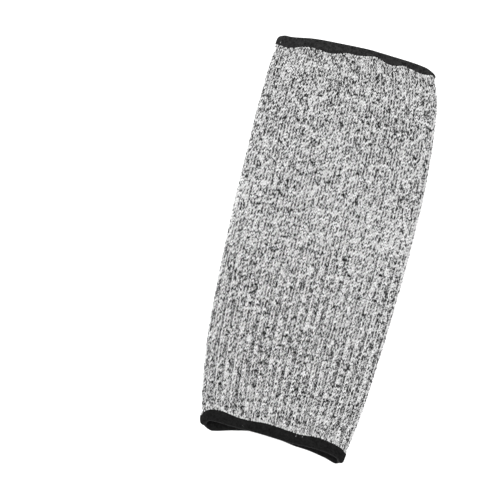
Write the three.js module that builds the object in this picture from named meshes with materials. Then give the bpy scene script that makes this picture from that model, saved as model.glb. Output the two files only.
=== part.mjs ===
// A cut resistant forearm sleeve: a rib knitted tube with a binding tape folded over each open end.
// It lies flat on a surface, its two layers a little apart. Millimetres, +Z up, +Y towards the upper
// end, and the origin on the surface under the middle of the sleeve.
import * as THREE from "three";

// The knitted tube
const LENGTH = 256.3; // over the bound ends, at their furthest points
const FULL_WIDTH = 115.4; // lying flat, where it is widest
const LAY_HEIGHT = 11.4; // rib crest to rib crest through both layers
const WALL = 1.9; // from a rib's crest to the inner face
const RIB_DEPTH = 0.9; // of the groove beside each rib, where it is deepest
const RIBS = 42; // round the tube
const WALES_PER_RIB = 3; // two raised columns of stitches and a sunk one
const SAG = 0.9; // how far the top layer dips between the folds
const END_RUN = 12; // the most that an end line falls back from the furthest point

// The binding tapes
const TAPE = 1.0; // thickness of one ply
const LOWER_BINDING = 7.0; // width of the lower end's tape, from its rolled edge to its hem
const UPPER_BINDING = 5.6; // width of the upper end's tape
const NOSE = 1.7; // length of the rolled edge
const HEM_ROUND = 0.6; // how far the tape's cut edge is rounded back
const EDGE_WALL = 1.2; // the knit's thickness where the binding grips it
const CLEARANCE = 0.3; // between the knit and the tape round it
const HEM_SWELL = 2.6; // the knit regains its full thickness this far past the hem
const SETTLE = 22; // past the hem, the knit comes down to the surface over this length

// Steps along the sleeve in the faces of the knitted wall
const OUTER_STEPS = 10;
const INNER_STEPS = 5;

// Depths are measured inwards from the rib crests.
const EDGE_TOP = (WALL - EDGE_WALL) / 2;
const EDGE_FLOOR = EDGE_TOP + EDGE_WALL;
const GROOVE_TOP = EDGE_TOP - CLEARANCE;
const GROOVE_FLOOR = EDGE_FLOOR + CLEARANCE;
const BINDING_TOP = GROOVE_TOP - TAPE;
const BINDING_FLOOR = GROOVE_FLOOR + TAPE;
const COLUMNS = RIBS * WALES_PER_RIB;

// The outline seen from above. "at" runs from the lower end to the upper one; left and right are
// shares of half the full width, height a share of LAY_HEIGHT, ribs a share of RIB_DEPTH.
const SECTIONS = [
  { at: 0.0, left: 0.785, right: 0.72, height: 0.98, ribs: 1.0 },
  { at: 0.025, left: 0.825, right: 0.735, height: 0.98, ribs: 1.0 },
  { at: 0.06, left: 0.868, right: 0.778, height: 0.98, ribs: 1.0 },
  { at: 0.12, left: 0.92, right: 0.824, height: 0.97, ribs: 1.0 },
  { at: 0.17, left: 0.947, right: 0.854, height: 0.96, ribs: 1.0 },
  { at: 0.25, left: 0.982, right: 0.889, height: 0.96, ribs: 0.95 },
  { at: 0.35, left: 0.995, right: 0.931, height: 0.96, ribs: 0.85 },
  { at: 0.46, left: 1.0, right: 0.966, height: 0.97, ribs: 0.7 },
  { at: 0.59, left: 0.995, right: 0.993, height: 0.98, ribs: 0.55 },
  { at: 0.69, left: 0.98, right: 1.003, height: 1.0, ribs: 0.45 },
  { at: 0.79, left: 0.967, right: 0.986, height: 1.0, ribs: 0.4 },
  { at: 0.87, left: 0.946, right: 0.956, height: 0.99, ribs: 0.4 },
  { at: 0.925, left: 0.925, right: 0.911, height: 0.98, ribs: 0.4 },
  { at: 0.965, left: 0.895, right: 0.84, height: 0.98, ribs: 0.4 },
  { at: 1.0, left: 0.865, right: 0.78, height: 0.98, ribs: 0.4 },
];

// Where each layer ends, from the left fold to the right one, as shares of END_RUN that the line
// falls back from the furthest point. The layer underneath shows past the top one at the lower end.
const END_LINES = [
  { across: -1.0, lower_top: 0.57, lower_under: 0.57, upper_top: 0.25, upper_under: 0.25 },
  { across: -0.93, lower_top: 0.8, lower_under: 0.385, upper_top: 0.21, upper_under: 0.29 },
  { across: -0.85, lower_top: 0.915, lower_under: 0.325, upper_top: 0.22, upper_under: 0.31 },
  { across: -0.55, lower_top: 0.84, lower_under: 0.57, upper_top: 0.055, upper_under: 0.14 },
  { across: -0.2, lower_top: 0.77, lower_under: 0.76, upper_top: 0.02, upper_under: 0.11 },
  { across: 0.15, lower_top: 0.65, lower_under: 0.55, upper_top: 0.015, upper_under: 0.1 },
  { across: 0.3, lower_top: 0.63, lower_under: 0.44, upper_top: 0.06, upper_under: 0.14 },
  { across: 0.5, lower_top: 0.62, lower_under: 0.36, upper_top: 0.13, upper_under: 0.21 },
  { across: 0.75, lower_top: 0.525, lower_under: 0.165, upper_top: 0.23, upper_under: 0.31 },
  { across: 0.9, lower_top: 0.36, lower_under: 0.0, upper_top: 0.345, upper_under: 0.42 },
  { across: 0.96, lower_top: 0.21, lower_under: 0.02, upper_top: 0.45, upper_under: 0.48 },
  { across: 1.0, lower_top: 0.12, lower_under: 0.12, upper_top: 0.55, upper_under: 0.55 },
];

// The value of a table's column at a place between its rows, along a smooth curve through them.
function fromTable(rows, key, column, place) {
  const last = rows.length - 1;
  const held = THREE.MathUtils.clamp(place, rows[0][key], rows[last][key]);
  const row = Math.min(rows.findLastIndex((r) => r[key] <= held), last - 1);
  const slope = (a, b) => (rows[b][column] - rows[a][column]) / (rows[b][key] - rows[a][key]);
  const slopeAt = (i) => slope(Math.max(i - 1, 0), Math.min(i + 1, last));
  const gap = rows[row + 1][key] - rows[row][key];
  const t = (held - rows[row][key]) / gap;
  const rise = t * t * (3 - 2 * t);
  return (
    rows[row][column] * (1 - rise) +
    rows[row + 1][column] * rise +
    gap * slopeAt(row) * t * (1 - t) * (1 - t) -
    gap * slopeAt(row + 1) * t * t * (1 - t)
  );
}

// A point of the flattened section and the way out of the tube there. "around" is 0 at the right
// fold, a quarter in the middle of the top layer, a half at the left fold.
function flatSection(around, halfWidth, height) {
  const bend = height / 2;
  const flat = halfWidth - bend;
  const fold = Math.PI * bend;
  const perimeter = 2 * fold + 4 * flat;
  const upperHalf = around <= 0.5;
  const walked = (upperHalf ? around : 1 - around) * perimeter;
  let x;
  let angle;
  if (walked < fold / 2) {
    angle = walked / bend;
    x = flat;
  } else if (walked < fold / 2 + 2 * flat) {
    angle = Math.PI / 2;
    x = flat - (walked - fold / 2);
  } else {
    angle = (walked - 2 * flat) / bend;
    x = -flat;
  }
  const side = upperHalf ? 1 : -1;
  return {
    x: x + bend * Math.cos(angle),
    z: bend + side * bend * Math.sin(angle),
    outX: Math.cos(angle),
    outZ: side * Math.sin(angle),
  };
}

// How far a layer's end line falls back from the furthest point of that end.
function endFallsBack(end, section, halfWidth, height) {
  const across = section.x / halfWidth;
  const raised = THREE.MathUtils.smoothstep(section.z / height, 0, 1);
  const top = fromTable(END_LINES, "across", end + "_top", across);
  const under = fromTable(END_LINES, "across", end + "_under", across);
  return END_RUN * THREE.MathUtils.lerp(under, top, raised);
}

// A point of the sleeve. share and inset say how far it lies along its column of stitches, depth
// how far under the rib crests, and ribbed how fully the grooves show there.
function sleevePoint(around, { share, inset, depth, ribbed }) {
  const middle = flatSection(around, FULL_WIDTH / 2, LAY_HEIGHT);
  const low = -LENGTH / 2 + endFallsBack("lower", middle, FULL_WIDTH / 2, LAY_HEIGHT);
  const high = LENGTH / 2 - endFallsBack("upper", middle, FULL_WIDTH / 2, LAY_HEIGHT);
  const y = THREE.MathUtils.lerp(low, high, share) + inset;
  const at = y / LENGTH + 0.5;

  const half = FULL_WIDTH / 2;
  const left = half * fromTable(SECTIONS, "at", "left", at);
  const right = half * fromTable(SECTIONS, "at", "right", at);
  const height = LAY_HEIGHT * fromTable(SECTIONS, "at", "height", at);
  const section = flatSection(around, (left + right) / 2, height);

  const groove = Math.max(0, Math.cos(2 * Math.PI * RIBS * around));
  const ribs = ribbed * fromTable(SECTIONS, "at", "ribs", at);
  const under = depth + ribs * RIB_DEPTH * groove;
  const across = (2 * section.x) / (left + right);
  const raised = THREE.MathUtils.smoothstep(section.z / height, 0.5, 1);
  const dip = SAG * raised * (1 - across ** 4) * (0.75 + 0.25 * Math.cos(4 * Math.PI * at));
  const fromEnd = Math.min(y - low, high - y);
  const hem = y - low < high - y ? LOWER_BINDING : UPPER_BINDING;
  const settled = THREE.MathUtils.smoothstep(fromEnd, hem, hem + SETTLE);
  const lift = -BINDING_TOP * (1 - settled);
  return [
    (right - left) / 2 + section.x - under * section.outX,
    y,
    lift - dip + section.z - under * section.outZ,
  ];
}

// A ring of wall: its closed profile is turned as a round tube, one step for each column of
// stitches, and every vertex is then laid where the flattened sleeve has it.
function layFlat(name, profile, material) {
  const roundRadius = FULL_WIDTH / Math.PI;
  const closed = [...profile, profile[0]];
  const outline = closed.map(
    (p) => new THREE.Vector2(roundRadius - p.depth, p.share * LENGTH + p.inset),
  );
  const geometry = new THREE.LatheGeometry(outline, COLUMNS);
  const { position, uv } = geometry.attributes;
  for (let i = 0; i < position.count; i++) {
    const column = Math.round(uv.getX(i) * COLUMNS) % COLUMNS;
    const step = Math.round(uv.getY(i) * profile.length);
    position.setXYZ(i, ...sleevePoint(column / COLUMNS, closed[step]));
  }
  geometry.computeVertexNormals();
  const mesh = new THREE.Mesh(geometry, material);
  mesh.name = name;
  return mesh;
}

// The same station seen from the other end of the sleeve.
const otherEnd = (p) => ({ ...p, share: 1 - p.share, inset: -p.inset });

// Stations of the knit's outer and inner face near the lower end, where a binding grips it.
function grippedEnd(bindingWidth) {
  const edge = TAPE + CLEARANCE;
  const hem = bindingWidth + CLEARANCE;
  const swollen = bindingWidth + HEM_SWELL;
  const station = (inset, depth, ribbed) => ({ share: 0, inset, depth, ribbed });
  return {
    outer: [station(edge, EDGE_TOP, 0), station(hem, EDGE_TOP, 0), station(swollen, 0, 1)],
    inner: [station(edge, EDGE_FLOOR, 0), station(hem, EDGE_FLOOR, 0), station(swollen, WALL, 0)],
  };
}

// The knitted wall: inner face from the lower end up, outer face back down.
function knitSleeve(material) {
  const lower = grippedEnd(LOWER_BINDING);
  const upper = grippedEnd(UPPER_BINDING);
  const between = (steps) => Array.from({ length: steps - 1 }, (_, i) => (i + 1) / steps);
  const outer = [
    ...lower.outer,
    ...between(OUTER_STEPS).map((share) => ({ share, inset: 0, depth: 0, ribbed: 1 })),
    ...upper.outer.map(otherEnd).reverse(),
  ];
  const inner = [
    ...lower.inner,
    ...between(INNER_STEPS).map((share) => ({ share, inset: 0, depth: WALL, ribbed: 0 })),
    ...upper.inner.map(otherEnd).reverse(),
  ];
  return layFlat("knit_sleeve", [...inner, ...outer.reverse()], material);
}

// A tape folded over an end: two plies with the knit's edge between them and a rolled nose.
function bindingProfile(width) {
  const noseMiddle = (BINDING_TOP + BINDING_FLOOR) / 2;
  const noseHeight = (BINDING_FLOOR - BINDING_TOP) / 2;
  const nose = [90, 45, 0, -45, -90].map((degrees) => {
    const angle = THREE.MathUtils.degToRad(degrees);
    return {
      inset: NOSE * (1 - Math.cos(angle)),
      depth: noseMiddle - noseHeight * Math.sin(angle),
    };
  });
  const points = [
    { inset: width, depth: GROOVE_TOP },
    { inset: width - HEM_ROUND, depth: BINDING_TOP },
    ...nose,
    { inset: width - HEM_ROUND, depth: BINDING_FLOOR },
    { inset: width, depth: GROOVE_FLOOR },
    { inset: TAPE, depth: GROOVE_FLOOR },
    { inset: TAPE, depth: GROOVE_TOP },
  ];
  return points.map((p) => ({ share: 0, ribbed: 0, ...p }));
}

const greyKnit = new THREE.MeshStandardMaterial({ color: 0xb9b9b9, roughness: 0.95, metalness: 0 });
const blackTape = new THREE.MeshStandardMaterial({ color: 0x1c1c1c, roughness: 0.8, metalness: 0 });

const laid = new THREE.Group();
laid.add(knitSleeve(greyKnit));
const lowerProfile = bindingProfile(LOWER_BINDING);
const upperProfile = bindingProfile(UPPER_BINDING).map(otherEnd).reverse();
laid.add(layFlat("lower_binding", lowerProfile, blackTape));
laid.add(layFlat("upper_binding", upperProfile, blackTape));

// The origin goes under the middle of the box round the sleeve.
const box = new THREE.Box3().setFromObject(laid);
laid.position.set(-(box.min.x + box.max.x) / 2, -(box.min.y + box.max.y) / 2, -box.min.z);

const sleeve = new THREE.Group();
sleeve.add(laid);
export default sleeve;
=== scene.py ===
"""A cut resistant forearm sleeve, laid flat: a rib knitted tube of salt-and-pepper yarn, with a
black binding tape folded over each open end.

The sleeve is drawn on one surface, which place_on_sleeve works out from a few sizes and two short
tables. "around" runs round the tube from 0 at its right fold over the top layer to 1, "share" runs
along a column of stitches from the lower end to the upper one, and "depth" goes inwards from the
crests of the ribs.
"""

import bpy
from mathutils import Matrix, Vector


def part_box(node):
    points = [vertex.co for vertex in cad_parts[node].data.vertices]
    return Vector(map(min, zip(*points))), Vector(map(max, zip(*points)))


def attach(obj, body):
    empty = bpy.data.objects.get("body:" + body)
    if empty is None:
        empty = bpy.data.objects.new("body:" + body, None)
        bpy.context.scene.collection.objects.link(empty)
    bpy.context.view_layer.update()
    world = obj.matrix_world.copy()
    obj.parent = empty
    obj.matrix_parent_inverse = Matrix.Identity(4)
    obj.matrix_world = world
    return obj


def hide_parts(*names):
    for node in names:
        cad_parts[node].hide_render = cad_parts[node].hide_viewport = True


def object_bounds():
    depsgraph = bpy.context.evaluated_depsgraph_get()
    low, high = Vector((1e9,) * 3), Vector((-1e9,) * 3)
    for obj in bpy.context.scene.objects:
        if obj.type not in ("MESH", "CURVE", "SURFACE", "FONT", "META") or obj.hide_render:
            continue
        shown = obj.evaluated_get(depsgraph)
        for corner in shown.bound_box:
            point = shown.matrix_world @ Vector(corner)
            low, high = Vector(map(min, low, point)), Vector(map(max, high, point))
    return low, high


bl_info = {
    "name": "Cut resistant sleeve",
    "version": (1, 0, 0),
    "blender": (4, 5, 0),
    "location": "View3D > Sidebar > Sleeve",
    "description": "Knits, binds and stages a forearm sleeve that lies flat",
    "category": "Object",
}

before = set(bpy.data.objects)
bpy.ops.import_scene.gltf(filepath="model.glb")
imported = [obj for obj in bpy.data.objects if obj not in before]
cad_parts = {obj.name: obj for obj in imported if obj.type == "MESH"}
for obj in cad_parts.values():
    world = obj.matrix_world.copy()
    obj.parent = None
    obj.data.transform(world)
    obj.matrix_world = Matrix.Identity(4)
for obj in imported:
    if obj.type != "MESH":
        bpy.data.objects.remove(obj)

import math

import bmesh
import bpy
import numpy as np
from mathutils import Vector, noise

MM = 0.001
FRAME_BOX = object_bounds()
KNIT_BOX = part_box("knit_sleeve")

# The sleeve's form
FACET_CUT = 0.3 * MM  # the solid's facets lie this far inside the round folds
LENGTH = FRAME_BOX[1].y - FRAME_BOX[0].y
HALF_WIDTH = (KNIT_BOX[1].x - KNIT_BOX[0].x) / 2 + FACET_CUT
LAY_HEIGHT = 11.4 * MM  # rib crest to rib crest through both layers
GIRTH = 4 * HALF_WIDTH - (4 - math.pi) * LAY_HEIGHT
RIBS = 42
SAG = 0.9 * MM  # how far the top layer dips between the folds
SAG_WAVE = 0.25  # share of the dip that comes and goes twice along the sleeve
END_RUN = 12 * MM  # the most that an end line falls back from the furthest point
SETTLE = 22 * MM  # the knit comes down to the surface over this length past the hem

# The knit
WALES_PER_RIB = 3
WALES = RIBS * WALES_PER_RIB
BANDS = 5  # pieces that the stitches are split into
COURSES_PER_BAND = 28
COURSES = BANDS * COURSES_PER_BAND
FIRST_COURSE = 2 * MM  # from the rolled edge
WALL = 1.9 * MM
HEM_SWELL = 1.0 * MM  # the knit regains its full thickness this far past the hem

# The ground, which closes the gaps between the stitches and lines the inside
GROUND = 0.75  # it lies under the crests by this share of the yarn's height
GROUND_UNDER_TAPE = 0.3 * MM  # and under the knit's own top where a tape covers it
GROUND_RIBS = {"outside": 0.75, "inside": 0.1}  # shares of the ribs' depth
GROUND_ROWS = {"outside": 41, "inside": 21}  # rows of points along the tube

# The legs of a stitch. Across is in columns of stitches, and along is in courses.
LEG_FOOT = 0.04  # across from the middle of the column to the foot
LEG_LEANS = 0.42  # and further out to the head
LEG_STARTS = -0.1  # along from the start of the course to the foot
LEG_CLIMBS = 1.2  # and from there to the head
LEG_DIVES = 0.28  # both ends go under by this share of the yarn's height
LEG_WIDE = (1.08, 0.92)  # the right leg and the left one, as shares of the yarn's width
LEFT_LEG_SINKS = 0.1 * MM
SUNK_THINS = 0.4  # the sunk column is thinner by this share
UNEVEN = {"width": 0.1, "across": 0.06, "depth": 0.06 * MM, "along": 0.08}  # from leg to leg
MOST_UNEVEN = 2  # no leg strays further than this many times as much
MAP_MARGIN = 0.08  # round each leg's cell of the map
SEEDS = {"melange": 7, "stitches": 100, "lower": 31, "upper": 32}  # where the chances start

# The charcoal ply that winds round each leg
PLY_TWIST = math.radians(28)  # how it leans along the leg
WAVE_RATE = 20  # Blender's wave texture goes on by this many radians a unit
TOP_OF_LEG = 2 / 3  # where the yarn's map has a leg's top
PLY_ON_TOP = math.tau * (0.5 - TOP_OF_LEG + math.tan(PLY_TWIST) / 2)  # phase that brings it there
PLY_WANDERS = 2.4  # the most that this phase varies
PLY_EDGE = (0.92, 1.08)  # wave and cover together turn from pale to charcoal between these

# The binding tapes
TAPE = 1.0 * MM  # thickness of one ply
EDGE_WALL = 1.2 * MM  # the knit's thickness under the tape
CLEARANCE = 0.3 * MM
EDGE_TOP = (WALL - EDGE_WALL) / 2
EDGE_FLOOR = EDGE_TOP + EDGE_WALL
TAPE_TOP = EDGE_TOP - CLEARANCE - TAPE
TAPE_FLOOR = EDGE_FLOOR + CLEARANCE + TAPE
TAPE_WIDTH = {"lower": 7.0 * MM, "upper": 5.6 * MM}
NOSE = 1.7 * MM  # length of the rolled edge
SHOULDER = 1.8 * MM  # over this length the tape rounds down to its hem
SHOULDER_FALL = 0.75 * MM  # by this much
SHOULDER_ROWS = 6
NOSE_ROWS = 9
MOST_SHOULDER = 0.5  # the shoulder and the nose take at most these shares of the hem's width
MOST_NOSE = 0.4
CROWN = 0.1 * MM  # halfway to its hem the tape stands this much higher
INNER_HEM = 0.3 * MM  # the hem inside the tube is this much thinner than the tape
LINING_STARTS = 0.6  # the plies part this many noses from the rolled edge
TAPE_RIBS = 235  # fine ribs across a tape, counted round the ring

# The loops of yarn that lap over a hem. Pairs are the least and the most that chance adds.
LOOP_PAST_HEM = 0.55 * MM  # a loop's middle lies this far past the hem
LOOP_PUFF = 1.3 * MM  # or up to this much nearer, where the knit puffs over the tape
LOOP_STRAYS = 1.1 * MM  # and up to this much nearer by chance
PUFFS = 9  # how fast the puffs come and go round the tube
PUFF_LEVEL = 2.0  # the level of the noise that they are read from
LOOP_SHIFTS = 0.5  # the most that a loop shifts round the hem, in steps from loop to loop
LOOP_HALF_LENGTH = (0.7 * MM, 0.5 * MM)
LOOP_HALF_WIDTH = (0.32 * MM, 0.14 * MM)
LOOP_LEANS = (-0.25 * MM, 0.35 * MM)  # by turns
LOOP_DEPTH = TAPE_TOP + 0.3 * MM
LOOP_DIVES = 0.25 * MM  # both ends
PALE_LOOPS = 0.75  # share of the loops
LOOP_COVER = {"pale": -0.3, "dark": 0.6}

# The specks that the needle drew through
SPECK_HALF_LENGTH = 0.7 * MM
SPECK_HALF_WIDTH = 0.14 * MM
SPECK_DEPTH = TAPE_TOP - 0.12 * MM
SPECK_COVER = 0.2
SPECK_STEPS = 1000  # places round the top layer where a speck may lie

# The outline seen from above. "at" runs from the lower end to the upper one; left and right are
# shares of HALF_WIDTH, height a share of LAY_HEIGHT, ribs a share of the ribs' full depth.
SECTIONS = [
    {"at": 0.0, "left": 0.785, "right": 0.72, "height": 0.98, "ribs": 1.0},
    {"at": 0.025, "left": 0.825, "right": 0.735, "height": 0.98, "ribs": 1.0},
    {"at": 0.06, "left": 0.868, "right": 0.778, "height": 0.98, "ribs": 1.0},
    {"at": 0.12, "left": 0.92, "right": 0.824, "height": 0.97, "ribs": 1.0},
    {"at": 0.17, "left": 0.947, "right": 0.854, "height": 0.96, "ribs": 1.0},
    {"at": 0.25, "left": 0.982, "right": 0.889, "height": 0.96, "ribs": 0.95},
    {"at": 0.35, "left": 0.995, "right": 0.931, "height": 0.96, "ribs": 0.85},
    {"at": 0.46, "left": 1.0, "right": 0.966, "height": 0.97, "ribs": 0.7},
    {"at": 0.59, "left": 0.995, "right": 0.993, "height": 0.98, "ribs": 0.55},
    {"at": 0.69, "left": 0.98, "right": 1.003, "height": 1.0, "ribs": 0.45},
    {"at": 0.79, "left": 0.967, "right": 0.986, "height": 1.0, "ribs": 0.4},
    {"at": 0.87, "left": 0.946, "right": 0.956, "height": 0.99, "ribs": 0.4},
    {"at": 0.925, "left": 0.925, "right": 0.911, "height": 0.98, "ribs": 0.4},
    {"at": 0.965, "left": 0.895, "right": 0.84, "height": 0.98, "ribs": 0.4},
    {"at": 1.0, "left": 0.865, "right": 0.78, "height": 0.98, "ribs": 0.4},
]

# Where each layer ends, from the left fold to the right one, as shares of END_RUN that the line
# falls back from the furthest point.
END_COLUMNS = ("across", "lower_top", "lower_under", "upper_top", "upper_under")
END_LINES = [dict(zip(END_COLUMNS, row)) for row in (
    (-1.0, 0.57, 0.57, 0.25, 0.25),
    (-0.93, 0.8, 0.385, 0.21, 0.29),
    (-0.85, 0.915, 0.325, 0.22, 0.31),
    (-0.55, 0.84, 0.57, 0.055, 0.14),
    (-0.2, 0.77, 0.76, 0.02, 0.11),
    (0.15, 0.65, 0.55, 0.015, 0.1),
    (0.3, 0.63, 0.44, 0.06, 0.14),
    (0.5, 0.62, 0.36, 0.13, 0.21),
    (0.75, 0.525, 0.165, 0.23, 0.31),
    (0.9, 0.36, 0.0, 0.345, 0.42),
    (0.96, 0.21, 0.02, 0.45, 0.48),
    (1.0, 0.12, 0.12, 0.55, 0.55),
)]

# How wide the tapes show on the top layer, in millimetres from the rolled edge to the hem
LOWER_HEM = [
    {"across": -1.0, "wide": 5.8},
    {"across": -0.93, "wide": 6.8},
    {"across": -0.85, "wide": 7.4},
    {"across": -0.74, "wide": 7.8},
    {"across": -0.62, "wide": 7.5},
    {"across": -0.5, "wide": 6.7},
    {"across": -0.36, "wide": 6.7},
    {"across": -0.15, "wide": 7.6},
    {"across": 0.15, "wide": 7.5},
    {"across": 0.3, "wide": 6.8},
    {"across": 0.55, "wide": 7.5},
    {"across": 0.75, "wide": 7.1},
    {"across": 1.0, "wide": 6.8},
]
UPPER_HEM = [
    {"across": -1.0, "wide": 5.9},
    {"across": -0.93, "wide": 7.2},
    {"across": -0.84, "wide": 7.5},
    {"across": -0.65, "wide": 6.2},
    {"across": -0.5, "wide": 6.5},
    {"across": -0.34, "wide": 7.8},
    {"across": -0.22, "wide": 6.9},
    {"across": -0.12, "wide": 5.6},
    {"across": 0.0, "wide": 5.8},
    {"across": 0.14, "wide": 4.9},
    {"across": 0.26, "wide": 3.9},
    {"across": 0.4, "wide": 6.0},
    {"across": 0.5, "wide": 5.7},
    {"across": 0.61, "wide": 4.2},
    {"across": 0.79, "wide": 5.5},
    {"across": 0.9, "wide": 4.5},
    {"across": 0.96, "wide": 2.7},
    {"across": 1.0, "wide": 2.3},
]

# Painted shade and light across each rib: the charcoal that the three columns of a rib show beyond
# the usual share, where the ribs are full. More in the sunk column is painted shade, and less in
# the column on its lit side is painted light.
RIB_PAINTED_SHADING = (0.23, 0.0, -0.21)
LEAN_TONE = 0.27  # and that the right leg of a stitch shows beyond it, or the left leg short of it

# How far the charcoal reaches round a leg: near 1 it is all over, and below 0 hardly any shows.
# Pairs are the least and the most that chance adds.
DARK_COVER = (0.12, 0.35)
PALE_COVER = (-0.25, 0.15)
SOLID_COVER = 0.9
SOLID_DARK = 0.2  # share of the dark legs that are charcoal all over

# The patches in which charcoal comes and goes: how strong they are, and how fast they change from
# leg to leg and from course to course
PATCHES = [
    {"strength": 0.06, "around": 0.05, "along": 0.08},
    {"strength": 0.18, "around": 0.45, "along": 0.05},
    {"strength": 0.18, "around": 0.015, "along": 0.6},
]
PATCHES_APART = 4.0  # so that the three kinds don't follow each other

# The charcoal that the sleeve shows beyond the usual share, along its length
TONES = [
    {"at": 0.0, "charcoal": 0.03},
    {"at": 0.2, "charcoal": 0.02},
    {"at": 0.35, "charcoal": -0.01},
    {"at": 0.55, "charcoal": -0.13},
    {"at": 0.75, "charcoal": -0.04},
    {"at": 1.0, "charcoal": 0.01},
]

# Shares of the light yarn's colour in its dullest leg and in the ground, which is dulled as painted
# shade between the stitches, and the tapes' mottling
DULL_YARN = 0.7
GROUND_PAINTED_SHADE = 0.6
TAPE_SHADES = (0.1, 2.0)
PATCHY = 0.5  # the tapes' broad patches count this much beside their fine fibres

# Where the needle drew a little pale yarn through the tapes, in millimetres from the rolled edge
NEEDLE_MARKS = [
    {"end": "upper", "across": -0.945, "run": 5.0},
    {"end": "upper", "across": -0.254, "run": 4.6},
    {"end": "lower", "across": -0.43, "run": 2.6},
    {"end": "lower", "across": -0.35, "run": 3.2},
    {"end": "lower", "across": 0.275, "run": 5.3},
    {"end": "lower", "across": 0.36, "run": 5.6},
]

# The photograph's view of it, in the photograph's own pixels of a 500 pixel square
PHOTO_SIDE = 500
PHOTO_CENTRE = (317.8, 249.9)  # where the middle of the sleeve's box lies
MM_PER_PIXEL = 0.622
LEAN = math.radians(12)  # the upper end leans right

# A broad soft box above and a lower one at the left, in metres and watts
SOFT_BOXES = [
    {"name": "overhead", "place": (0.1, 0.3, 1.6), "size": 1.6, "power": 22},
    {"name": "side", "place": (-1.3, 0.3, 0.9), "size": 0.8, "power": 12},
]


class SleeveSizes(bpy.types.PropertyGroup):
    """Sizes of the knit and the tapes."""

    rib_depth: bpy.props.FloatProperty(
        name="Rib depth", description="Depth of the sunk column beside each rib",
        default=1.15 * MM, min=0, max=1.2 * MM, unit="LENGTH", precision=5)
    yarn_width: bpy.props.FloatProperty(
        name="Yarn width", description="Width of one leg of a stitch",
        default=0.82 * MM, min=0.3 * MM, max=1.2 * MM, unit="LENGTH", precision=5)
    yarn_height: bpy.props.FloatProperty(
        name="Yarn height", description="How far a leg of a stitch stands up",
        default=0.95 * MM, min=0.3 * MM, max=1.2 * MM, unit="LENGTH", precision=5)
    tape_rib: bpy.props.FloatProperty(
        name="Tape rib", description="Height of the fine ribs across the binding tape",
        default=0.13 * MM, min=0, max=0.3 * MM, unit="LENGTH", precision=5)


class SleeveColours(bpy.types.PropertyGroup):
    """Colours of the yarns, the tapes and the floor."""

    light_yarn: bpy.props.FloatVectorProperty(
        name="Light yarn", description="The palest ply of the melange",
        subtype="COLOR", size=3, default=(0.82, 0.82, 0.82), min=0, max=1)
    dark_yarn: bpy.props.FloatVectorProperty(
        name="Dark yarn", description="The charcoal ply of the melange",
        subtype="COLOR", size=3, default=(0.02, 0.02, 0.02), min=0, max=1)
    dark_share: bpy.props.FloatProperty(
        name="Dark share", description="Share of the legs that show the charcoal ply, on the whole",
        subtype="FACTOR", default=0.5, min=0, max=1)
    lower_tape: bpy.props.FloatVectorProperty(
        name="Lower tape", description="The tape at the wrist end",
        subtype="COLOR", size=3, default=(0.006, 0.006, 0.006), min=0, max=1)
    upper_tape: bpy.props.FloatVectorProperty(
        name="Upper tape", description="The tape at the elbow end, which is a little paler",
        subtype="COLOR", size=3, default=(0.017, 0.017, 0.017), min=0, max=1)
    floor: bpy.props.FloatVectorProperty(
        name="Floor", description="The plain floor",
        subtype="COLOR", size=3, default=(0.9, 0.9, 0.9), min=0, max=1)


# The sleeve's surface

def smoothstep(value, low, high):
    """0 below low, 1 above high, and smooth between."""
    t = np.clip((value - low) / (high - low), 0, 1)
    return t * t * (3 - 2 * t)


def from_table(rows, key, column, places):
    """A table column's values at places between its rows, along a smooth curve through them."""
    at = np.array([row[key] for row in rows])
    value = np.array([row[column] for row in rows])
    before = np.maximum(np.arange(len(rows)) - 1, 0)
    after = np.minimum(np.arange(len(rows)) + 1, len(rows) - 1)
    slope = (value[after] - value[before]) / (at[after] - at[before])
    held = np.clip(places, at[0], at[-1])
    row = np.clip(np.searchsorted(at, held, side="right") - 1, 0, len(rows) - 2)
    gap = at[row + 1] - at[row]
    t = (held - at[row]) / gap
    rise = t * t * (3 - 2 * t)
    bend = gap * (slope[row] * t * (1 - t) ** 2 - slope[row + 1] * t * t * (1 - t))
    return value[row] * (1 - rise) + value[row + 1] * rise + bend


def flat_section(around, half_width, height):
    """Points of the flattened tube's section, as x, z and the way out there."""
    bend = height / 2
    flat = half_width - bend
    fold = math.pi * bend
    upper = around <= 0.5
    walked = np.where(upper, around, 1 - around) * (2 * fold + 4 * flat)
    on_flat = (walked >= fold / 2) & (walked < fold / 2 + 2 * flat)
    past = walked >= fold / 2 + 2 * flat
    angle = np.where(past, (walked - 2 * flat) / bend, walked / bend)
    angle = np.where(on_flat, math.pi / 2, angle)
    middle = np.where(past, -flat, np.where(on_flat, flat - (walked - fold / 2), flat))
    side = np.where(upper, 1, -1)
    out_x = np.cos(angle)
    out_z = side * np.sin(angle)
    return middle + bend * out_x, bend + bend * out_z, out_x, out_z


def end_falls_back(end, around):
    """How far a layer's end line falls back from the furthest point of that end."""
    x, z, _, _ = flat_section(around, HALF_WIDTH, LAY_HEIGHT)
    raised = smoothstep(z / LAY_HEIGHT, 0, 1)
    top = from_table(END_LINES, "across", end + "_top", x / HALF_WIDTH)
    under = from_table(END_LINES, "across", end + "_under", x / HALF_WIDTH)
    return END_RUN * (under + (top - under) * raised)


def column_ends(around):
    """Where each column of stitches starts and ends along the sleeve."""
    low = -LENGTH / 2 + end_falls_back("lower", around)
    high = LENGTH / 2 - end_falls_back("upper", around)
    return low, high


def groove(around):
    """1 along the sunk column beside each rib, 0 on the rib."""
    return np.maximum(0, np.cos(2 * math.pi * RIBS * around))


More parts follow.
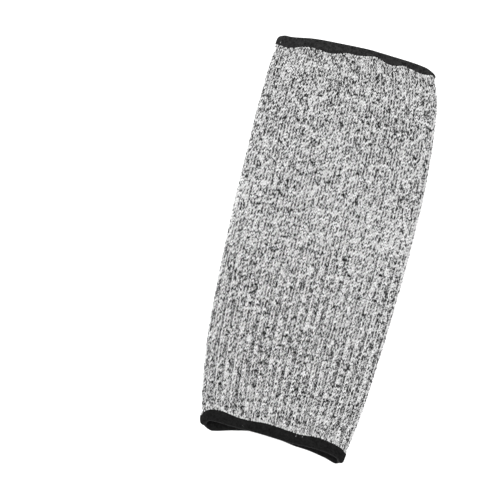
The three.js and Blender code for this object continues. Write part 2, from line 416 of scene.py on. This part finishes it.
def place_on_sleeve(around, share, inset, depth, ribbed, rib_depth):
    """Points of the sleeve, as an array of rows x, y, z. Nothing reaches into the surface that
    the sleeve lies on."""
    around = np.mod(around, 1.0)
    low, high = column_ends(around)
    y = low + (high - low) * share + inset
    at = y / LENGTH + 0.5
    left = HALF_WIDTH * from_table(SECTIONS, "at", "left", at)
    right = HALF_WIDTH * from_table(SECTIONS, "at", "right", at)
    height = LAY_HEIGHT * from_table(SECTIONS, "at", "height", at)
    x, z, out_x, out_z = flat_section(around, (left + right) / 2, height)

    ribs = ribbed * from_table(SECTIONS, "at", "ribs", at)
    under = depth + ribs * rib_depth * groove(around)
    across = 2 * x / (left + right)
    raised = smoothstep(z / height, 0.5, 1)
    wave = 1 - SAG_WAVE + SAG_WAVE * np.cos(4 * math.pi * at)
    dip = SAG * raised * (1 - across ** 4) * wave
    hem = np.where(y - low < high - y, TAPE_WIDTH["lower"], TAPE_WIDTH["upper"])
    from_end = np.minimum(y - low, high - y)
    lift = -TAPE_TOP * (1 - smoothstep(from_end, hem, hem + SETTLE))
    height_there = np.maximum(lift - dip + z - under * out_z, 0)
    return np.stack([(right - left) / 2 + x - under * out_x, y, height_there], 1)


def hem_width(end, around):
    """How far the hem lies from the rolled edge: as the tables say on the top layer, and the
    tape's full width underneath."""
    around = np.mod(around, 1.0)
    x, z, _, _ = flat_section(around, HALF_WIDTH, LAY_HEIGHT)
    table = LOWER_HEM if end == "lower" else UPPER_HEM
    shown = from_table(table, "across", "wide", x / HALF_WIDTH) * MM
    return TAPE_WIDTH[end] + (shown - TAPE_WIDTH[end]) * smoothstep(z / LAY_HEIGHT, 0, 0.5)


def gripped(around, from_low, from_high):
    """1 where a tape grips the knit, 0 where the knit has its full thickness."""
    held = [
        1 - smoothstep(from_end - hem_width(end, around), 0, HEM_SWELL)
        for end, from_end in (("lower", from_low), ("upper", from_high))
    ]
    return np.maximum(*held)


def rib_strength(from_low, length):
    """How deep the ribs are along a column, as a share of their full depth."""
    return from_table(SECTIONS, "at", "ribs", from_low / length)


# Meshes

def finish_piece(name, mesh, material):
    """Links a mesh as a piece that rides on the sleeve."""
    piece = bpy.data.objects.new(name, mesh)
    bpy.context.scene.collection.objects.link(piece)
    mesh.materials.append(material)
    mesh.polygons.foreach_set("use_smooth", [True] * len(mesh.polygons))
    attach(piece, "root")
    return piece


def rolled_ring(name, columns, profile, place):
    """A closed ring of wall: a grid whose columns go round the tube and whose rows follow the
    closed profile, joined to itself along both seams. place gives the points for arrays of the
    columns' places around and the rows' numbers in the profile."""
    bm = bmesh.new()
    bm.loops.layers.uv.new("OFBake")
    bmesh.ops.create_grid(bm, x_segments=columns, y_segments=profile, size=0.5, calc_uvs=True)
    grid = np.array([vertex.co[:2] for vertex in bm.verts]) + 0.5
    around = np.round(grid[:, 0] * columns) / columns
    row = np.round(grid[:, 1] * profile).astype(int) % profile
    for vertex, point in zip(bm.verts, place(around, row)):
        vertex.co = point
    bmesh.ops.remove_doubles(bm, verts=bm.verts, dist=1e-7)
    bmesh.ops.recalc_face_normals(bm, faces=bm.faces)
    if bm.calc_volume(signed=True) < 0:
        bmesh.ops.reverse_faces(bm, faces=bm.faces)
    mesh = bpy.data.meshes.new(name)
    bm.to_mesh(mesh)
    bm.free()
    return mesh


def yarn_leg():
    """A length of yarn, a spindle one unit in half length, width and height: its vertices, its
    faces and the map of each face's corners."""
    bm = bmesh.new()
    uv = bm.loops.layers.uv.new("yarn")
    bmesh.ops.create_uvsphere(bm, u_segments=6, v_segments=3, radius=1, calc_uvs=True)
    vertices = np.array([vertex.co for vertex in bm.verts])
    faces = [[vertex.index for vertex in face.verts] for face in bm.faces]
    corners = np.array([loop[uv].uv for face in bm.faces for loop in face.loops])
    bm.free()
    return vertices, faces, corners


def joined_legs(name, points, looks):
    """One mesh of many lengths of yarn. points has the vertices of each in turn, and looks a row
    for each: how much charcoal it shows, where its twist starts, and how pale it is."""
    vertices, faces, corners = yarn_leg()
    legs = len(looks)
    face_sizes = np.array([len(face) for face in faces])
    starts = len(vertices) * np.arange(legs)[:, None]
    mesh = bpy.data.meshes.new(name)
    mesh.vertices.add(len(points))
    mesh.vertices.foreach_set("co", points.ravel())
    mesh.loops.add(legs * len(corners))
    mesh.loops.foreach_set("vertex_index", (np.concatenate(faces)[None, :] + starts).ravel())
    mesh.polygons.add(legs * len(faces))
    ends = np.cumsum(np.tile(face_sizes, legs))
    mesh.polygons.foreach_set("loop_start", np.concatenate([[0], ends[:-1]]))

    yarn = mesh.uv_layers.new(name="yarn")
    yarn.data.foreach_set("uv", np.tile(corners, (legs, 1)).ravel())
    cells = math.ceil(math.sqrt(legs))
    cell = np.stack([np.arange(legs) % cells, np.arange(legs) // cells], 1)
    bake = mesh.uv_layers.new(name="OFBake")
    inside_cell = MAP_MARGIN + (1 - 2 * MAP_MARGIN) * corners
    bake.data.foreach_set("uv", ((cell[:, None] + inside_cell[None]) / cells).ravel())
    look = mesh.attributes.new("look", "FLOAT_VECTOR", "POINT")
    look.data.foreach_set("vector", np.repeat(looks, len(vertices), 0).ravel())
    mesh.update()
    mesh.validate()
    return mesh


# Materials

def new_material(name):
    """A material with a Principled shader: the material, its nodes and the shader."""
    material = bpy.data.materials.new(name)
    material.use_nodes = True
    tree = material.node_tree
    return material, tree, tree.nodes["Principled BSDF"]


def add_node(tree, kind, inputs=None, **settings):
    """A node with its settings and the values of its unlinked inputs."""
    node = tree.nodes.new(kind)
    for name, value in settings.items():
        setattr(node, name, value)
    for name, value in (inputs or {}).items():
        node.inputs[name].default_value = value
    return node


def shade(colour, strength=1.0):
    """A colour made darker or lighter, with the opacity that sockets ask for."""
    return [strength * part for part in colour] + [1]


def knit_yarn_material(colours):
    """Salt-and-pepper yarn: the charcoal ply winds round each leg and shows on a part of it."""
    material, tree, shader = new_material("salt_and_pepper_yarn")
    link = tree.links.new
    look = add_node(tree, "ShaderNodeAttribute", attribute_name="look")
    parts = add_node(tree, "ShaderNodeSeparateXYZ")
    ply_map = add_node(tree, "ShaderNodeUVMap", uv_map="yarn")
    twist = add_node(tree, "ShaderNodeMapping", {"Rotation": (0, 0, PLY_TWIST)})
    once_round = math.tau / WAVE_RATE / math.cos(PLY_TWIST)  # the wave's scale for the ply's turn
    ply = add_node(tree, "ShaderNodeTexWave", {"Scale": once_round})
    link(look.outputs["Vector"], parts.inputs["Vector"])
    link(ply_map.outputs["UV"], twist.inputs["Vector"])
    link(twist.outputs["Vector"], ply.inputs["Vector"])
    link(parts.outputs["Y"], ply.inputs["Phase Offset"])

    reach = add_node(tree, "ShaderNodeMath", operation="ADD")
    link(ply.outputs["Fac"], reach.inputs[0])
    link(parts.outputs["X"], reach.inputs[1])
    edge = {"From Min": PLY_EDGE[0], "From Max": PLY_EDGE[1]}
    charcoal = add_node(tree, "ShaderNodeMapRange", edge)
    link(reach.outputs["Value"], charcoal.inputs["Value"])
    pale = add_node(tree, "ShaderNodeMix", data_type="RGBA")
    pale.inputs["A"].default_value = shade(colours.light_yarn, DULL_YARN)
    pale.inputs["B"].default_value = shade(colours.light_yarn)
    link(parts.outputs["Z"], pale.inputs["Factor"])
    shown = add_node(tree, "ShaderNodeMix", data_type="RGBA")
    shown.inputs["B"].default_value = shade(colours.dark_yarn)
    link(charcoal.outputs["Result"], shown.inputs["Factor"])
    link(pale.outputs["Result"], shown.inputs["A"])
    link(shown.outputs["Result"], shader.inputs["Base Color"])

    place = add_node(tree, "ShaderNodeTexCoord")
    fibres = add_node(tree, "ShaderNodeTexNoise", {"Scale": 5200.0, "Detail": 3.0})
    link(place.outputs["Object"], fibres.inputs["Vector"])
    bump = add_node(tree, "ShaderNodeBump", {"Strength": 0.4, "Distance": 0.08 * MM})
    link(fibres.outputs["Fac"], bump.inputs["Height"])
    link(bump.outputs["Normal"], shader.inputs["Normal"])
    shader.inputs["Roughness"].default_value = 0.9
    shader.inputs["Specular IOR Level"].default_value = 0.2
    return material


def knit_ground_material(colours):
    """The ground between the stitches and the inside of the tube, dulled as painted shade."""
    material, tree, shader = new_material("knit_ground")
    link = tree.links.new
    cloth = add_node(tree, "ShaderNodeUVMap", uv_map="OFBake")
    scaled = add_node(tree, "ShaderNodeMapping", {"Scale": (WALES, 2 * COURSES, 1)})
    cells = add_node(tree, "ShaderNodeTexVoronoi", {"Scale": 1.0, "Randomness": 0.75})
    specks = add_node(tree, "ShaderNodeTexWhiteNoise")
    ramp = add_node(tree, "ShaderNodeValToRGB")
    ramp.color_ramp.elements[0].color = shade(colours.dark_yarn)
    ramp.color_ramp.elements[0].position = 0.15
    # Painted shade: the ground's pale yarn is dulled because the crevices between the stitches lie
    # in shade
    ramp.color_ramp.elements[1].color = shade(colours.light_yarn, GROUND_PAINTED_SHADE)
    ramp.color_ramp.elements[1].position = 0.75
    link(cloth.outputs["UV"], scaled.inputs["Vector"])
    link(scaled.outputs["Vector"], cells.inputs["Vector"])
    link(cells.outputs["Position"], specks.inputs["Vector"])
    link(specks.outputs["Value"], ramp.inputs["Fac"])
    link(ramp.outputs["Color"], shader.inputs["Base Color"])
    bump = add_node(tree, "ShaderNodeBump", {"Strength": 0.8, "Distance": 0.4 * MM}, invert=True)
    link(cells.outputs["Distance"], bump.inputs["Height"])
    link(bump.outputs["Normal"], shader.inputs["Normal"])
    shader.inputs["Roughness"].default_value = 0.95
    shader.inputs["Specular IOR Level"].default_value = 0.15
    return material


def tape_material(name, colour):
    """Black knitted tape, matt and faintly mottled."""
    material, tree, shader = new_material(name)
    link = tree.links.new
    place = add_node(tree, "ShaderNodeTexCoord")
    fibres = add_node(tree, "ShaderNodeTexNoise", {"Scale": 1000.0, "Detail": 3.0})
    patches = add_node(tree, "ShaderNodeTexNoise", {"Scale": 300.0, "Detail": 3.0})
    blend = add_node(tree, "ShaderNodeMath", {1: PATCHY}, operation="MULTIPLY_ADD")
    ramp = add_node(tree, "ShaderNodeValToRGB")
    ramp.color_ramp.elements[0].color = shade(colour, TAPE_SHADES[0])
    ramp.color_ramp.elements[0].position = 0.5
    ramp.color_ramp.elements[1].color = shade(colour, TAPE_SHADES[1])
    ramp.color_ramp.elements[1].position = 1.0
    link(place.outputs["Object"], fibres.inputs["Vector"])
    link(place.outputs["Object"], patches.inputs["Vector"])
    link(patches.outputs["Fac"], blend.inputs[0])
    link(fibres.outputs["Fac"], blend.inputs[2])
    link(blend.outputs["Value"], ramp.inputs["Fac"])
    link(ramp.outputs["Color"], shader.inputs["Base Color"])
    bump = add_node(tree, "ShaderNodeBump", {"Strength": 0.6, "Distance": 0.08 * MM})
    link(fibres.outputs["Fac"], bump.inputs["Height"])
    link(bump.outputs["Normal"], shader.inputs["Normal"])
    shader.inputs["Roughness"].default_value = 0.85
    shader.inputs["Specular IOR Level"].default_value = 0.12
    shader.inputs["Sheen Weight"].default_value = 0.06
    shader.inputs["Sheen Roughness"].default_value = 0.35
    return material


# Pieces

def make_knit_wall(sizes, material):
    """The tube's ground, which closes the gaps between the stitches and lines the inside."""
    outer = np.linspace(0, 1, GROUND_ROWS["outside"])
    inner = np.linspace(1, 0, GROUND_ROWS["inside"])
    share = np.concatenate([outer, inner])
    inset = (TAPE + CLEARANCE) * (1 - 2 * share)
    inside = np.arange(len(share)) >= len(outer)

    def place(around, row):
        low, high = column_ends(around)
        length = high - low
        from_low = length * share[row] + inset[row]
        held = gripped(around, from_low, length - from_low)
        ground = GROUND * sizes.yarn_height
        outer_depth = ground + (EDGE_TOP + GROUND_UNDER_TAPE - ground) * held
        inner_depth = WALL + (EDGE_FLOOR - WALL) * held
        depth = np.where(inside[row], inner_depth, outer_depth)
        ribs = np.where(inside[row], GROUND_RIBS["inside"], GROUND_RIBS["outside"])
        return place_on_sleeve(
            around, share[row], inset[row], depth, ribs * (1 - held), sizes.rib_depth)

    mesh = rolled_ring("knit_wall", 2 * WALES, len(share), place)
    return finish_piece("knit_wall", mesh, material)


def patches(courses, legs):
    """How much more charcoal the patches give each leg of these courses."""
    return np.array([[
        sum(patch["strength"] * noise.noise(Vector((
            leg * patch["around"], course * patch["along"], PATCHES_APART * number)))
            for number, patch in enumerate(PATCHES))
        for leg in range(legs)] for course in courses])


def leg_looks(courses, dark_share):
    """How each leg of these courses looks: the charcoal that shows, the start of its twist and how
    pale it is. The sunk columns are darker as painted shade, and the column on each groove's lit
    side is paler as painted light."""
    source = np.random.default_rng(SEEDS["melange"])
    legs = 2 * WALES
    chances, amounts, turns, tones, solid = source.random((5, COURSES, legs))[:, courses]
    leg = np.arange(legs)
    at = (courses + 0.5) / COURSES
    ribs = from_table(SECTIONS, "at", "ribs", at)[:, None]
    # Painted shade and light: more charcoal in the sunk columns, less in the column on their lit
    # side
    rib_painted_shading = ribs ** 2 * np.array(RIB_PAINTED_SHADING)[leg // 2 % WALES_PER_RIB]
    chance = dark_share + from_table(TONES, "at", "charcoal", at)[:, None] + rib_painted_shading
    chance = chance + np.where(leg % 2 == 0, LEAN_TONE, -LEAN_TONE) + patches(courses, legs)
    dark = np.where(solid < SOLID_DARK, SOLID_COVER, DARK_COVER[0] + DARK_COVER[1] * amounts)
    cover = np.where(chances < chance, dark, PALE_COVER[0] + PALE_COVER[1] * amounts)
    phase = PLY_ON_TOP + PLY_WANDERS * (turns - 0.5)
    # Painted shade and light: the pale legs are duller in the sunk columns and brighter beside them
    pale = np.clip(tones - rib_painted_shading, 0, 1)
    return np.stack([cover, phase, pale], 2).reshape(-1, 3)


def make_stitch_band(number, sizes, colours, material):
    """One band of courses as a single mesh, two legs to a stitch. The right leg of each stitch
    stands prouder than the left one, as the yarn's twist makes it."""
    vertices, _, _ = yarn_leg()
    courses = np.arange(number * COURSES_PER_BAND, (number + 1) * COURSES_PER_BAND)
    legs = len(courses) * WALES * 2
    course = np.repeat(courses, WALES * 2)
    wale = np.tile(np.repeat(np.arange(WALES), 2), len(courses))
    side = np.tile([-1.0, 1.0], len(courses) * WALES)
    right = side < 0

    source = np.random.default_rng(SEEDS["stitches"] + number)
    spread = source.standard_normal((4, legs)).clip(-MOST_UNEVEN, MOST_UNEVEN)
    width = sizes.yarn_width / 2 * (1 + UNEVEN["width"] * spread[0]) * np.where(right, *LEG_WIDE)
    shift = UNEVEN["across"] * spread[1]
    sink = UNEVEN["depth"] * spread[2] + np.where(right, 0, LEFT_LEG_SINKS)
    slip = UNEVEN["along"] * spread[3]

    rise = (vertices[:, 2] + 1) / 2
    lean = LEG_FOOT + LEG_LEANS * rise
    climb = LEG_STARTS + LEG_CLIMBS * rise
    thick = width[:, None] * WALES / GIRTH * vertices[:, 0]
    around = ((wale[:, None] + side[:, None] * lean + shift[:, None] + thick) / WALES).ravel()
    along = (course[:, None] + climb + slip[:, None]).ravel()

    low, high = column_ends(around)
    length = high - low
    from_low = FIRST_COURSE + along * (length - 2 * FIRST_COURSE) / COURSES
    held = gripped(around, from_low, length - from_low)
    sunk = groove(around) * rib_strength(from_low, length)
    thin = 1 - SUNK_THINS * sunk
    over = sizes.yarn_height / 2 * (1 - vertices[:, 1])
    dive = LEG_DIVES * sizes.yarn_height * vertices[:, 2] ** 2
    depth = thin * np.tile(over, legs) + np.tile(dive, legs) + np.repeat(sink, len(vertices))
    points = place_on_sleeve(
        around, from_low / length, 0, depth + EDGE_TOP * held, 1 - held, sizes.rib_depth)
    looks = leg_looks(courses, colours.dark_share)
    mesh = joined_legs(f"knit_stitches_{number + 1}", points, looks)
    return finish_piece(mesh.name, mesh, material)


def tape_profile():
    """The closed profile of a folded tape and how many of its rows show. Each row says how many
    hem widths, shoulders and noses it lies from the rolled edge, and how deep."""
    middle = (TAPE_TOP + TAPE_FLOOR) / 2
    half = (TAPE_FLOOR - TAPE_TOP) / 2
    shoulder = [
        (1, -fall, 0, TAPE_TOP + SHOULDER_FALL * (1 - math.sqrt(1 - (1 - fall) ** 2)))
        for fall in np.linspace(0, 1, SHOULDER_ROWS)]
    crown = (0.5, -0.5, 0.5, TAPE_TOP - CROWN)
    nose = [
        (0, 0, 1 - math.cos(turn), middle - half * math.sin(turn))
        for turn in np.radians(np.linspace(90, -90, NOSE_ROWS))]
    inner = (0.5, 0, 0.5, TAPE_FLOOR)
    hidden = [
        (1, 0, 0, TAPE_FLOOR - INNER_HEM),
        (1, 0, 0, TAPE_FLOOR - TAPE),
        (0, 0, LINING_STARTS, TAPE_FLOOR - TAPE),
        (0, 0, LINING_STARTS, TAPE_TOP + TAPE)]
    start = (1, 0, 0, TAPE_TOP + TAPE)
    rows = [start, *shoulder, crown, *nose, inner, *hidden]
    return np.array(rows).T, len(rows) - len(hidden) - 1


def make_tape(end, sizes, material):
    """A tape folded over an end of the tube: two plies, a rolled edge and fine crosswise ribs."""
    (hems, shoulders, noses, depth), last_shown = tape_profile()

    def place(around, row):
        shows = (row > 0) & (row <= last_shown)
        hem = np.where(row >= last_shown, TAPE_WIDTH[end], hem_width(end, around))
        shoulder = np.minimum(SHOULDER, MOST_SHOULDER * hem)
        nose = np.minimum(NOSE, MOST_NOSE * hem)
        run = hems[row] * hem + shoulders[row] * shoulder + noses[row] * nose
        ribs = sizes.tape_rib * shows * np.cos(math.tau * TAPE_RIBS * around)
        share = np.full(len(around), 0.0 if end == "lower" else 1.0)
        return place_on_sleeve(
            around, share, run if end == "lower" else -run, depth[row] - ribs, 0, 0)

    mesh = rolled_ring(end + "_binding_tape", 4 * TAPE_RIBS, len(depth), place)
    return finish_piece(mesh.name, mesh, material)


def needle_marks(end):
    """Where the needle's specks lie on this end: around the tube, and from the rolled edge."""
    marks = [mark for mark in NEEDLE_MARKS if mark["end"] == end]
    top_layer = np.linspace(0, 0.5, SPECK_STEPS, endpoint=False)
    across = flat_section(top_layer, HALF_WIDTH, LAY_HEIGHT)[0] / HALF_WIDTH
    around = [top_layer[np.argmin(abs(across - mark["across"]))] for mark in marks]
    return around, [mark["run"] * MM for mark in marks]


def make_hem_yarns(end, material):
    """The loops of yarn that lap over a tape's hem, and the specks that the needle drew through."""
    vertices, _, _ = yarn_leg()
    source = np.random.default_rng(SEEDS[end])
    legs = 2 * WALES
    spread = source.random((5, legs))
    around = (np.arange(legs) + LOOP_SHIFTS * spread[0]) / legs
    puff = np.array([
        noise.noise(Vector((PUFFS * math.cos(turn), PUFFS * math.sin(turn), PUFF_LEVEL)))
        for turn in math.tau * around])
    nearer = LOOP_PUFF * np.maximum(puff, 0) + LOOP_STRAYS * spread[1] ** 2
    run = hem_width(end, around) + LOOP_PAST_HEM - nearer
    half_length = LOOP_HALF_LENGTH[0] + LOOP_HALF_LENGTH[1] * spread[2]
    half_width = LOOP_HALF_WIDTH[0] + LOOP_HALF_WIDTH[1] * spread[3]
    lean = np.resize(LOOP_LEANS, legs)
    cover = np.where(spread[4] > PALE_LOOPS, LOOP_COVER["dark"], LOOP_COVER["pale"])
    loops = (around, run, half_length, half_width, lean, LOOP_DEPTH, cover, source.random(legs))

    spots, runs = needle_marks(end)
    specks = (spots, runs, SPECK_HALF_LENGTH, SPECK_HALF_WIDTH, 0, SPECK_DEPTH, SPECK_COVER, 0)
    around, run, half_length, half_width, lean, crest, cover, pale = (
        np.append(np.broadcast_to(loop, legs), np.broadcast_to(speck, len(spots)))[:, None]
        for loop, speck in zip(loops, specks))

    over = lean * vertices[:, 2] + half_width * vertices[:, 0]
    turn = (around + over / GIRTH).ravel()
    reach = (run + half_length * vertices[:, 2]).ravel()
    down = half_width * (1 - vertices[:, 1]) + LOOP_DIVES * vertices[:, 2] ** 2
    share = np.full(len(turn), 0.0 if end == "lower" else 1.0)
    points = place_on_sleeve(
        turn, share, reach if end == "lower" else -reach, (crest + down).ravel(), 0, 0)
    phase = math.tau * source.random(len(cover))
    looks = np.stack([cover[:, 0], phase, pale[:, 0]], 1)
    mesh = joined_legs(end + "_hem_yarns", points, looks)
    return finish_piece(mesh.name, mesh, material)


# Operators

class SLEEVE_OT_knit(bpy.types.Operator):
    """Knit the tube: its ground and its stitches"""

    bl_idname = "sleeve.knit"
    bl_label = "Knit the tube"

    def execute(self, context):
        sizes = context.scene.sleeve_sizes
        colours = context.scene.sleeve_colours
        wall = make_knit_wall(sizes, knit_ground_material(colours))
        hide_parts("knit_sleeve")
        yarn = knit_yarn_material(colours)
        for number in range(BANDS):
            make_stitch_band(number, sizes, colours, yarn)
        for end in ("lower", "upper"):
            make_hem_yarns(end, yarn)
        return {"FINISHED"}


class SLEEVE_OT_bind(bpy.types.Operator):
    """Fold a binding tape over each open end"""

    bl_idname = "sleeve.bind"
    bl_label = "Bind the ends"

    def execute(self, context):
        sizes = context.scene.sleeve_sizes
        colours = context.scene.sleeve_colours
        for end, colour in (("lower", colours.lower_tape), ("upper", colours.upper_tape)):
            tape = make_tape(end, sizes, tape_material(end + "_tape", colour))
            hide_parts(end + "_binding")
        return {"FINISHED"}


class SLEEVE_OT_stage(bpy.types.Operator):
    """Set the floor, the lights and the camera"""

    bl_idname = "sleeve.stage"
    bl_label = "Set the stage"

    def execute(self, context):
        make_floor(context.scene.sleeve_colours)
        make_lights(context.scene)
        make_camera(context.scene)
        return {"FINISHED"}


class SLEEVE_PT_panel(bpy.types.Panel):
    """The sleeve's sizes, colours and steps"""

    bl_label = "Sleeve"
    bl_idname = "SLEEVE_PT_panel"
    bl_space_type = "VIEW_3D"
    bl_region_type = "UI"
    bl_category = "Sleeve"

    def draw(self, context):
        for group in (context.scene.sleeve_sizes, context.scene.sleeve_colours):
            for name in group.__annotations__:
                self.layout.prop(group, name)
        for operator in OPERATORS:
            self.layout.operator(operator.bl_idname)


# The stage

def make_floor(colours):
    """A plain pale floor."""
    bm = bmesh.new()
    bmesh.ops.create_grid(bm, x_segments=1, y_segments=1, size=3)
    mesh = bpy.data.meshes.new("floor")
    bm.to_mesh(mesh)
    bm.free()
    floor = bpy.data.objects.new("floor", mesh)
    bpy.context.scene.collection.objects.link(floor)
    material, _, shader = new_material("plain_floor")
    shader.inputs["Base Color"].default_value = shade(colours.floor)
    shader.inputs["Roughness"].default_value = 1.0
    shader.inputs["Specular IOR Level"].default_value = 0.0
    shader.inputs["Emission Color"].default_value = (1, 1, 1, 1)
    shader.inputs["Emission Strength"].default_value = 0.45
    mesh.materials.append(material)


def make_lights(scene):
    """Square soft boxes that face the sleeve, and a pale room."""
    for box in SOFT_BOXES:
        data = bpy.data.lights.new(box["name"], "AREA")
        data.size = box["size"]
        data.energy = box["power"]
        light = bpy.data.objects.new(box["name"], data)
        light.location = box["place"]
        light.rotation_euler = (-light.location).to_track_quat("-Z", "Y").to_euler()
        scene.collection.objects.link(light)
    world = bpy.data.worlds.new("pale_room")
    world.use_nodes = True
    world.node_tree.nodes["Background"].inputs["Color"].default_value = (1, 1, 1, 1)
    world.node_tree.nodes["Background"].inputs["Strength"].default_value = 0.55
    scene.world = world
    scene.view_settings.view_transform = "Standard"


def make_camera(scene):
    """Straight above the sleeve, turned so that its upper end leans right as photographed."""
    data = bpy.data.cameras.new("camera")
    data.lens = 100
    data.sensor_width = 36
    camera = bpy.data.objects.new("camera", data)
    side = PHOTO_SIDE * MM_PER_PIXEL * MM
    right = Vector((math.cos(LEAN), math.sin(LEAN), 0))
    up = Vector((-math.sin(LEAN), math.cos(LEAN), 0))
    off_right = (PHOTO_CENTRE[0] - PHOTO_SIDE / 2) * MM_PER_PIXEL * MM
    off_up = (PHOTO_SIDE / 2 - PHOTO_CENTRE[1]) * MM_PER_PIXEL * MM
    height = side * data.lens / data.sensor_width + LAY_HEIGHT / 2
    camera.location = Vector((0, 0, height)) - off_right * right - off_up * up
    camera.rotation_euler = (0, 0, LEAN)
    data.clip_end = 20
    scene.collection.objects.link(camera)
    scene.camera = camera


GROUPS = {"sleeve_sizes": SleeveSizes, "sleeve_colours": SleeveColours}
OPERATORS = (SLEEVE_OT_knit, SLEEVE_OT_bind, SLEEVE_OT_stage)
CLASSES = (*GROUPS.values(), *OPERATORS, SLEEVE_PT_panel)


def register():
    for kind in CLASSES:
        bpy.utils.register_class(kind)
    for name, group in GROUPS.items():
        setattr(bpy.types.Scene, name, bpy.props.PointerProperty(type=group))


def unregister():
    for name in GROUPS:
        delattr(bpy.types.Scene, name)
    for kind in reversed(CLASSES):
        bpy.utils.unregister_class(kind)


def main():
    """Builds the sleeve and its stage."""
    register()
    bpy.ops.sleeve.knit()
    bpy.ops.sleeve.bind()
    bpy.ops.sleeve.stage()


if __name__ == "__main__":
    main()
